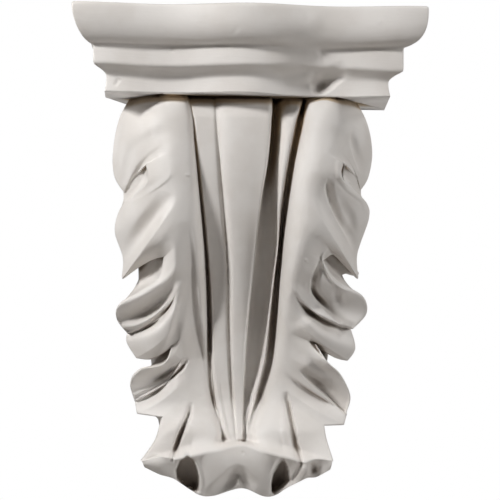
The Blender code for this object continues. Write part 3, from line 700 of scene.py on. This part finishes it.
# The cap
# The moulding over the leaf, run on a serpentine plan: a big quarter-round, a fascia
# band, a cove and a flat underside. It is a little out of true on the right.
CAP_WIDTH = 0.178
CAP_PROJECTION = 0.112
OVOLO_HEIGHT = 0.0190
OVOLO_STEP = 0.0099
OVOLO_LEFT_FULLNESS = 0.85
OVOLO_RIGHT_FULLNESS = 1.3
OVOLO_FRONT_FULLNESS = 0.2
OVOLO_FRONT_END = 8
REVEAL = 0.0006
FASCIA_HEIGHT = 0.0104
COVE_STEP = 0.0065
COVE_WAIST = 0.42
COVE_ROUND = 0.8
COVE_FLARE = 0.0009
FRONT_STEP_SHARE = 1.35
TOP_EDGE_RADIUS = 0.0016
VALLEY_DEPTH = 0.0085
VALLEY_PLACE = 0.47
CORNER_SETBACK = 0.0035
# The two valleys' depths, as shares of the depth above, at the ovolo's top and foot, the
# fascia's foot and the cap's foot
RIGHT_VALLEY_SHARES = (1.0, 0.8, 0.85, 1.5)
LEFT_VALLEY_SHARES = (1.0, 0.7, 0.6, 0.7)
SIDE_HOLLOW = 0.006
SIDE_HOLLOW_REACH = 0.040
LEFT_WALL_INSET = 0.0135
RIGHT_WALL_FLARE = 0.009
LEFT_CHAMFER_OUT = 0.050
CAP_FRONT_COLUMNS = 190
CAP_SIDE_COLUMNS = 22
TOP_EDGE_ROWS = 5
OVOLO_ROWS = 20
FASCIA_ROWS = 10
COVE_ROWS = 24

# How much lower than true each line of the moulding hangs, across the cap
HANG_PLACES = (-0.90, -0.70, -0.48, -0.18, 0.0, 0.24, 0.48, 0.68, 0.92)
OVOLO_HANG = (0, 0.0002, 0.0002, 0, 0, 0.0002, 0.0008, 0.0006, 0)
FASCIA_HANG = (0, 0.0009, 0.0009, 0.0003, 0, 0, 0, 0.0010, 0.0024)
FOOT_HANG = (0, 0.0002, 0.0002, 0, 0, 0.0009, 0.0005, 0.0013, 0.0011)


def cap_profile():
    """The moulding from the top down: (turn of the quarter-round, inset past it, distance down)."""
    points = []
    for step in range(TOP_EDGE_ROWS + 1):
        angle = math.pi / 2 * step / TOP_EDGE_ROWS
        points.append((0, TOP_EDGE_RADIUS * (1 - math.sin(angle)), TOP_EDGE_RADIUS * (1 - math.cos(angle))))
    for step in range(1, OVOLO_ROWS + 1):
        angle = math.pi / 2 * step / OVOLO_ROWS
        points.append((1 - math.cos(angle), 0,
                       TOP_EDGE_RADIUS + (OVOLO_HEIGHT - TOP_EDGE_RADIUS) * math.sin(angle)))
    fascia_foot = OVOLO_HEIGHT + FASCIA_HEIGHT
    for step in range(FASCIA_ROWS + 1):
        points.append((1, REVEAL, blend(OVOLO_HEIGHT + REVEAL, fascia_foot, step / FASCIA_ROWS)))
    cove_height = CAP_HEIGHT - fascia_foot
    for step in range(1, COVE_ROWS + 1):
        share = step / COVE_ROWS
        inset = REVEAL + COVE_STEP * math.sin(math.pi / 2 * min(1.0, share / COVE_WAIST)) ** COVE_ROUND
        inset -= COVE_FLARE * max(0.0, (share - COVE_WAIST) / (1 - COVE_WAIST)) ** 2
        points.append((1, inset, fascia_foot + cove_height * share))
    return points


def cap_outline(turned, past, below):
    """The cap's plan at one level, from the wall round the front and back to the wall."""
    fascia_foot = OVOLO_HEIGHT + FASCIA_HEIGHT
    lines = (0.0, OVOLO_HEIGHT, fascia_foot, CAP_HEIGHT)
    left_share = np.interp(below, lines, LEFT_VALLEY_SHARES)
    right_share = np.interp(below, lines, RIGHT_VALLEY_SHARES)
    in_cove = max(0.0, (below - fascia_foot) / (CAP_HEIGHT - fascia_foot))
    places = np.linspace(-1, 1, CAP_FRONT_COLUMNS + 1)
    apart = np.abs(places)
    fullness = blend(OVOLO_LEFT_FULLNESS, OVOLO_RIGHT_FULLNESS, (places + 1) / 2)
    fullness = fullness + OVOLO_FRONT_FULLNESS * (1 - apart ** OVOLO_FRONT_END)
    inset = OVOLO_STEP * turned ** fullness + past if turned else np.full_like(places, past)
    half = CAP_WIDTH / 2 - inset
    front = CAP_PROJECTION - inset * FRONT_STEP_SHARE
    past_valley = 1 + (apart - VALLEY_PLACE) / (1 - VALLEY_PLACE)
    turn = np.where(apart < VALLEY_PLACE, apart / VALLEY_PLACE, past_valley)
    valley = VALLEY_DEPTH * np.where(places > 0, right_share, left_share)
    recess = valley * (1 - np.cos(math.pi * turn)) / 2 + CORNER_SETBACK * apart ** 2
    across, stand = places * half, -(front - recess)
    sides = np.linspace(0, 1, CAP_SIDE_COLUMNS + 1)[:-1]
    corner = stand[0]
    behind = np.minimum(1, corner * (sides - 1) / SIDE_HOLLOW_REACH)
    hollow = SIDE_HOLLOW * behind ** 2 * (3 - 2 * behind) * (1 - in_cove)
    chamfer = LEFT_WALL_INSET * in_cove * np.maximum(0, 1 + corner * sides / LEFT_CHAMFER_OUT)
    flare = RIGHT_WALL_FLARE * in_cove * (1 - sides)
    across = np.concatenate((hollow + chamfer - half[0], across, (half[-1] - hollow + flare)[::-1]))
    stand = np.concatenate((corner * sides, stand, (stand[-1] * sides)[::-1]))
    spots = np.clip(across / (CAP_WIDTH / 2 - OVOLO_STEP), -1, 1)
    hangs = [np.interp(spots, HANG_PLACES, table) for table in (OVOLO_HANG, FASCIA_HANG, FOOT_HANG)]
    hangs.insert(0, np.zeros_like(across))
    hang = np.array([np.interp(below, lines, hung) for hung in zip(*hangs)])
    return np.stack((across, stand, CORBEL_HEIGHT / 2 - below - hang), axis=1)


CAP_EVENING = (1, 0.0, 0.4)
cap_grid = np.array([cap_outline(*level) for level in cap_profile()])
cap_grid = evened_grid(cap_grid, *CAP_EVENING)

# Right of the middle the quarter-round runs into the fascia with no crisp line between
SOFT_PLACE = 0.028
SOFT_WIDTH = 0.011
SOFT_SHARE = 0.9
SOFT_EVENING = (30, 0.0, 1.0)
softened = evened_grid(cap_grid.copy(), *SOFT_EVENING)
softness = SOFT_SHARE * np.exp(-((cap_grid[..., 0] - SOFT_PLACE) / SOFT_WIDTH) ** 2)[..., None]
softness[cap_grid[..., 1] > -CAP_PROJECTION / 2] = 0
softness *= np.clip((CORBEL_HEIGHT / 2 - cap_grid[..., 2:]) / OVOLO_HEIGHT, 0, 1) ** 2
cap_grid = blend(cap_grid, softened, softness)

# Cuts and dents in the cap: the pocket in the cove, and the marks a casting picks up
CAP_STROKES = {
    "cove pocket": (((311, 90, 0), (319, 87, 4.8), (327, 82, 6.2), (336, 75, 3.4),
        (349, 69, 0)), 10, 13),
    "pocket swell": (((314, 72, 0), (307, 78, -1.4), (296, 80, -1.0), (284, 80, 0)), 7, 7),
    "fascia dip": (((319, 46, 0), (322, 52, 1.2), (326, 60, 0)), 6, 8),
    "ovolo swell": (((318, 6, 0), (317, 18, -0.8), (316, 32, 0)), 12, 10),
    "ovolo scratch": (((240.6, 25.4, 0.2), (236, 30, 0.5), (232, 35, 0.2)), 2, 2),
    "fascia pit": (((171, 50, 0.5), (173, 50, 0.5)), 2.5, 2.5),
    "ovolo bead": (((380, 21, -0.4), (382, 21, -0.4)), 2.5, 2.5),
    "cove nick": (((118.5, 80, 0.6), (115.5, 84.5, 0.6)), 2.5, 2.5),
}
front_columns = slice(CAP_SIDE_COLUMNS, -CAP_SIDE_COLUMNS)
cap_grid[:, front_columns] = carve(cap_grid[:, front_columns], CAP_STROKES)


# The casting
# Cap and leaf are one casting, so their closed shells are joined into one skin, with
# thin webs that close the eyes between the leaflets.


class Shell:
    """A closed shell collected from grids of points."""

    def __init__(self):
        self.points = []
        self.faces = []

    def add_points(self, points):
        start = len(self.points)
        self.points += [tuple(point) for point in points]
        return list(range(start, len(self.points)))

    def bridge(self, rows):
        for upper, lower in zip(rows, rows[1:]):
            for index in range(len(upper) - 1):
                self.faces.append((upper[index], upper[index + 1], lower[index + 1], lower[index]))

    def make(self, name):
        data = bpy.data.meshes.new(name)
        data.from_pydata(self.points, [], self.faces)
        data.validate()
        item = bpy.data.objects.new(name, data)
        bpy.context.scene.collection.objects.link(item)
        bpy.context.view_layer.objects.active = item
        item.select_set(True)
        bpy.ops.object.mode_set(mode="EDIT")
        bpy.ops.mesh.select_all(action="SELECT")
        bpy.ops.mesh.normals_make_consistent(inside=False)
        bpy.ops.object.mode_set(mode="OBJECT")
        item.select_set(False)
        return item


def leaf_shell():
    shell = Shell()
    grid = [shell.add_points(row) for row in leaf_grid]
    shell.bridge(grid)
    edge_row = leaf_grid[-1][tail:-tail]
    left_side, right_side = leaf_grid[-1][:tail][::-1], leaf_grid[-1][-tail:]
    rows = [grid[-1][tail:-tail]]
    for step, points in enumerate(under_rows(edge_row, left_side, right_side)):
        inner = shell.add_points(points[1:-1])
        rows.append([grid[-1][tail - 1 - step]] + inner + [grid[-1][step - tail]])
    shell.bridge(rows)
    for upper, lower in zip(grid[:-2], grid[1:-1]):
        shell.faces.append((upper[0], lower[0], lower[-1], upper[-1]))
    shell.faces.append([grid[-2][0]] + rows[-1] + [grid[-2][-1]])
    root = grid[0]
    for index in range(len(root) // 2 - 1):
        shell.faces.append((root[index], root[index + 1], root[-2 - index], root[-1 - index]))
    middle = len(root) // 2
    shell.faces.append(root[middle - 1:middle + 2])
    return shell.make("corbel_casting")


# Thin webs that close the eyes between leaflets: two rails over the camera's view,
# the upper leaflet's side and the lower one's, as (x, y, millimetres out from the wall)
EYE_WEBS = {
    "left first": (
        ((149, 155, 73), (141, 164, 65), (131, 175, 57), (124.5, 184, 49), (123.5, 190, 45)),
        ((153, 160, 69), (152, 179, 63), (146, 192, 59), (136, 200, 53), (123.5, 203, 46))),
    "right first": (
        ((341, 157, 73), (349, 164, 66), (357, 173, 57), (361, 183, 49), (361, 190, 45)),
        ((337, 162, 69), (338, 180, 64), (345, 190, 59), (354, 196, 53), (361, 198, 46))),
    "left second": (
        ((168, 250, 56), (158, 254, 51), (146, 261, 45), (138.5, 268, 40)),
        ((169, 262, 54), (163, 282, 50), (153, 290, 46), (139, 295, 40))),
    "right second": (
        ((318, 248, 57), (332, 246, 52), (344, 254, 46), (354, 266, 41), (359, 273, 38)),
        ((320, 262, 53), (325, 272, 48), (334, 279, 43), (346, 273.5, 40), (358, 276, 37))),
}
WEB_COLUMNS = 8
WEB_BACK = -0.010


def from_view(x, y, out):
    """The point seen at a place in the camera's view that stands so far out from the wall."""
    ray = Vector(((x - FRAME_SIDE / 2) / FOCAL_PIXELS, (FRAME_SIDE / 2 - y) / FOCAL_PIXELS, -1.0))
    ray = camera.matrix_world.to_3x3() @ ray
    return CAMERA_EYE + ray * ((-out / 1000 - CAMERA_EYE.y) / ray.y)


def web_shell(upper_rail, lower_rail):
    shell = Shell()
    rails = [smoothed_path(rail) for rail in (upper_rail, lower_rail)]
    front_rows, back_rows = [], []
    for upper, lower in zip(*rails):
        row = [from_view(*blend(upper, lower, step / WEB_COLUMNS)) for step in range(WEB_COLUMNS + 1)]
        front_rows.append(shell.add_points(row))
        back_rows.append(shell.add_points([(x, WEB_BACK, z) for x, _, z in row])[::-1])
    shell.bridge(front_rows)
    shell.bridge(back_rows)
    for front_rim, back_rim in ((front_rows[0], back_rows[0]), (front_rows[-1], back_rows[-1])):
        shell.bridge([front_rim, back_rim[::-1]])
    shell.bridge([[row[0] for row in front_rows], [row[-1] for row in back_rows]])
    shell.bridge([[row[-1] for row in front_rows], [row[0] for row in back_rows]])
    return shell.make("web")


def cap_shell():
    shell = Shell()
    rows = [shell.add_points(row) for row in cap_grid]
    shell.bridge(rows)
    shell.faces.append(rows[0])
    shell.faces.append(rows[-1])
    shell.faces.append([row[0] for row in rows] + [row[-1] for row in reversed(rows)])
    return shell.make("cap")


casting = leaf_shell()
shells = [cap_shell()] + [web_shell(*rails) for rails in EYE_WEBS.values()]
for shell in shells:
    union = casting.modifiers.new("cast in one", "BOOLEAN")
    union.operation = "UNION"
    union.solver = "MANIFOLD"
    union.object = shell
evaluated = casting.evaluated_get(bpy.context.evaluated_depsgraph_get())
joined = bpy.data.meshes.new_from_object(evaluated)
casting.modifiers.clear()
casting.data = joined
for shell in shells:
    bpy.data.objects.remove(shell, do_unlink=True)
casting.data.shade_smooth()


# The primer
# Off-white primer sprayed thin, drying to a faint grain. The cuts are tinted by how shut in
# they are: the foam's tan where the coat thins, and painted shade, dusky low down and deep brown at the
# bottoms.
HOLLOW_REACH = 0.012
HOLLOW_RAYS = 12
RAY_START = 0.0004
RAY_LEAN = 1.02
HOLLOW_PASSES = 2


def hollow_shares(data):
    """How shut in each point of a mesh is, from 0 in the open to 1 at the bottom of a cut."""
    corners = [point.co for point in data.vertices]
    tree = BVHTree.FromPolygons(corners, [face.vertices for face in data.polygons])
    turns = np.arange(HOLLOW_RAYS) * math.pi * (3 - math.sqrt(5))
    heights = 1 - (np.arange(HOLLOW_RAYS) + 0.5) * 2 / HOLLOW_RAYS
    rings = np.sqrt(1 - heights ** 2)
    around = np.stack((rings * np.cos(turns), rings * np.sin(turns), heights), axis=1)
    rays = [Vector(ray) for ray in around]
    shares = np.zeros(len(data.vertices))
    for index, point in enumerate(data.vertices):
        start = point.co + point.normal * RAY_START
        shut = 0.0
        for ray in rays:
            distance = tree.ray_cast(start, point.normal * RAY_LEAN + ray, HOLLOW_REACH)[3]
            if distance is not None:
                shut += 1 - distance / HOLLOW_REACH
        shares[index] = shut / HOLLOW_RAYS
    edges = np.array([edge.vertices[:] for edge in data.edges])
    for _ in range(HOLLOW_PASSES):
        total, count = shares.copy(), np.ones(len(shares))
        for first, second in (edges.T, edges.T[::-1]):
            np.add.at(total, first, shares[second])
            np.add.at(count, first, 1)
        shares = total / count
    return shares


hollow = casting.data.attributes.new("hollow", "FLOAT", "POINT")
hollow.data.foreach_set("value", hollow_shares(casting.data))

# The eyes cut in to the curl are tinted dark: painted shade on their floors and walls
EYE_FRONT = 0.03
EYE_RIM = 1.6
skin_points = np.array([point.co for point in casting.data.vertices])
facing = np.array([point.normal.y for point in casting.data.vertices])
eye_painted_shade = np.zeros(len(skin_points))
for name in ("left curl eye", "right curl eye"):
    eye_painted_shade += hollow_depth(over_view(skin_points), LEAF_HOLLOWS[name][0], 1.0, EYE_RIM)
eye_painted_shade[(skin_points[:, 1] > -EYE_FRONT) | (facing > 0)] = 0
eye_shade_attribute = casting.data.attributes.new("eye_painted_shade", "FLOAT", "POINT")
eye_shade_attribute.data.foreach_set("value", eye_painted_shade)


class Wire:
    """One output of a shader's node, that Python's operators add Math nodes to."""

    def __init__(self, tree, output=None):
        self.tree = tree
        self.output = output

    def node(self, kind, settings=None, inputs=None, output=0):
        """Add a node, with its settings first and then its inputs, each a value or a wire."""
        node = self.tree.nodes.new(kind)
        for name, value in (settings or {}).items():
            setattr(node, name, value)
        for name, value in (inputs or {}).items():
            if isinstance(value, Wire):
                self.tree.links.new(value.output, node.inputs[name])
            else:
                node.inputs[name].default_value = value
        return Wire(self.tree, node.outputs[output])

    def maths(self, operation, first, second):
        return self.node("ShaderNodeMath", {"operation": operation}, {0: first, 1: second})

    def __add__(self, other):
        return self.maths("ADD", self, other)

    def __sub__(self, other):
        return self.maths("SUBTRACT", self, other)

    def __rsub__(self, other):
        return self.maths("SUBTRACT", other, self)

    def __mul__(self, other):
        return self.maths("MULTIPLY", self, other)

    __radd__ = __add__
    __rmul__ = __mul__

    def stepped(self, low, high):
        """From 0 at the low value to 1 at the high one, eased at both ends."""
        return self.node("ShaderNodeMapRange", {"interpolation_type": "SMOOTHSTEP"},
                         {"Value": self, "From Min": low, "From Max": high})

    def tinted(self, first, second):
        """The first colour where this is 0 and the second where it is 1."""
        return self.node("ShaderNodeMix", {"data_type": "RGBA"}, {"Factor": self, 6: first, 7: second}, 2)


PRIMER_WHITE = (0.79, 0.755, 0.72, 1.0)
PRIMER_DULL = (0.74, 0.70, 0.66, 1.0)
# The foam's own tan, then painted shade: a dusky colour for the low cuts and the eyes, and a deep brown for
# the bottoms of the cuts
FOAM_TAN = (0.50, 0.39, 0.27, 1.0)
SHADE_DUSK = (0.30, 0.25, 0.21, 1.0)
SHADE_BROWN = (0.13, 0.09, 0.06, 1.0)

# Cloudy patches in the coat, its specks, and its grain, drawn out across the corbel
CLOUD_SCALE = 45.0
SPECK_SCALE = 420.0
GRAIN_SCALE = 130.0
GRAIN_DRAWN = (1.0, 1.0, 9.0)
DULL_PATCHES = (0.40, 0.65)
# How shut in a place is where the coat ends and where the painted deep brown shade starts, and how
# much the patches, the specks and the nearness of the cap move them
COAT_ENDS = (0.29, 0.54)
PAINTED_SHADE_STARTS = (0.66, 0.88)
CLOUD_SHIFT = 0.16
SPECK_SHIFT = 0.06
UNDER_CAP_SHIFT = 0.12
UNDER_CAP_STARTS = (0.055, 0.083)
UNDER_CAP_ENDS = (0.0845, 0.088)
# The foam's tan shows high on the corbel, and low on it the cuts are painted a dusky shade instead,
# changing between these heights
TAN_STARTS = (0.02, 0.07)
EYE_SHADE_SHARE = 0.8
ROUGHNESS = 0.50
SPECK_ROUGHNESS = 0.12
SPECK_HEIGHT = 0.4
GRAIN_HEIGHT = 0.6
BUMP_STRENGTH = 0.13
BUMP_DEPTH = 0.0006

primer = bpy.data.materials.new("primed_urethane")
primer.use_nodes = True
shader = primer.node_tree.nodes["Principled BSDF"]
wire = Wire(primer.node_tree)
place = wire.node("ShaderNodeTexCoord", output="Object")
shut_in = wire.node("ShaderNodeAttribute", {"attribute_name": "hollow"}, output="Fac")
cloud = wire.node("ShaderNodeTexNoise", inputs={"Vector": place, "Scale": CLOUD_SCALE, "Detail": 4.0})
speck = wire.node("ShaderNodeTexNoise", inputs={"Vector": place, "Scale": SPECK_SCALE, "Detail": 3.0})
drawn = wire.node("ShaderNodeMapping", inputs={"Vector": place, "Scale": GRAIN_DRAWN})
grain = wire.node("ShaderNodeTexNoise", inputs={"Vector": drawn, "Scale": GRAIN_SCALE, "Detail": 2.0})
high = wire.node("ShaderNodeSeparateXYZ", inputs={"Vector": place}, output="Z")
# Near the cap's underside the shut-in mask is raised, which paints shade under the cap
tucked = high.stepped(*UNDER_CAP_STARTS) * (1.0 - high.stepped(*UNDER_CAP_ENDS))
edge = shut_in + (cloud - 0.5) * CLOUD_SHIFT + (speck - 0.5) * SPECK_SHIFT + tucked * UNDER_CAP_SHIFT
coat = cloud.stepped(*DULL_PATCHES).tinted(PRIMER_WHITE, PRIMER_DULL)
# Low on the corbel the cuts are painted dusky, as shade
foam_and_painted_shade = high.stepped(*TAN_STARTS).tinted(SHADE_DUSK, FOAM_TAN)
tan = edge.stepped(*COAT_ENDS).tinted(coat, foam_and_painted_shade)
# Inside the curl's eyes the colour is mixed towards the dusky colour, as painted shade
eye_shade = wire.node("ShaderNodeAttribute", {"attribute_name": "eye_painted_shade"}, output="Fac")
with_eye_shade = (eye_shade * EYE_SHADE_SHARE).tinted(tan, SHADE_DUSK)
# The bottoms of the cuts are painted deep brown as shade
colour = edge.stepped(*PAINTED_SHADE_STARTS).tinted(with_eye_shade, SHADE_BROWN)
rough = speck * SPECK_ROUGHNESS + ROUGHNESS
height = grain * GRAIN_HEIGHT + speck * SPECK_HEIGHT
bump = wire.node("ShaderNodeBump",
                 inputs={"Height": height, "Strength": BUMP_STRENGTH, "Distance": BUMP_DEPTH})
for name, source in (("Base Color", colour), ("Roughness", rough), ("Normal", bump)):
    primer.node_tree.links.new(source.output, shader.inputs[name])
casting.data.materials.clear()
casting.data.materials.append(primer)
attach(casting, "root")
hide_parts("corbel")

# The studio
# A pale floor below, white behind, and five soft lamps: a near key and a side lamp on the
# left, a reflector and a rim lamp on the right, and a faint one above.
FLOOR_DROP = 0.8
FLOOR_SIDE = 1.8
FLOOR_PALE = (0.82, 0.79, 0.76, 1.0)
FLOOR_ROUGHNESS = 0.9
AIR_GLOW = (1.0, 0.94, 0.88, 1.0)
AIR_STRENGTH = 0.02
BACKDROP_WHITE = (1.0, 1.0, 1.0, 1.0)

bpy.ops.mesh.primitive_plane_add(size=FLOOR_SIDE, location=(0, 0, -FLOOR_DROP))
floor = bpy.context.object
floor.name = "floor"
floor_paint = bpy.data.materials.new("pale_floor")
floor_paint.use_nodes = True
floor_shader = floor_paint.node_tree.nodes["Principled BSDF"]
floor_shader.inputs["Base Color"].default_value = FLOOR_PALE
floor_shader.inputs["Roughness"].default_value = FLOOR_ROUGHNESS
floor.data.materials.append(floor_paint)

world = bpy.data.worlds.new("studio")
bpy.context.scene.world = world
world.use_nodes = True
air = Wire(world.node_tree)
glow = air.node("ShaderNodeBackground", inputs={"Color": AIR_GLOW, "Strength": AIR_STRENGTH})
white = air.node("ShaderNodeBackground", inputs={"Color": BACKDROP_WHITE, "Strength": 1.0})
seen = air.node("ShaderNodeLightPath", output="Is Camera Ray")
sky = air.node("ShaderNodeMixShader", inputs={0: seen, 1: glow, 2: white})
world.node_tree.links.new(sky.output, world.node_tree.nodes["World Output"].inputs["Surface"])
bpy.context.scene.view_settings.view_transform = "Standard"

# Each lamp: name, degrees round from straight ahead (to the right), degrees up, how far
# off it stands, how strongly it lights from there and how many degrees wide it looks
LAMPS = (("key", -46, 26, 1.0, 2.35, 8),
         ("side", -85, 24, 3.0, 0.6, 14),
         ("reflector", 63, 10, 3.0, 1.1, 16),
         ("rim", 84, 33, 3.0, 0.6, 16),
         ("top", 30, 65, 3.0, 0.2, 20))
for name, round_degrees, up_degrees, distance, strength, wide_degrees in LAMPS:
    lamp_data = bpy.data.lights.new(name, "POINT")
    lamp_data.energy = strength * 4 * math.pi * distance ** 2
    lamp_data.shadow_soft_size = distance * math.tan(math.radians(wide_degrees / 2))
    lamp = bpy.data.objects.new(name, lamp_data)
    bpy.context.scene.collection.objects.link(lamp)
    turn, rise = math.radians(round_degrees), math.radians(up_degrees)
    ahead = Vector((math.sin(turn), -math.cos(turn), 0.0)) * math.cos(rise)
    lamp.location = (ahead + Vector((0.0, 0.0, math.sin(rise)))) * distance
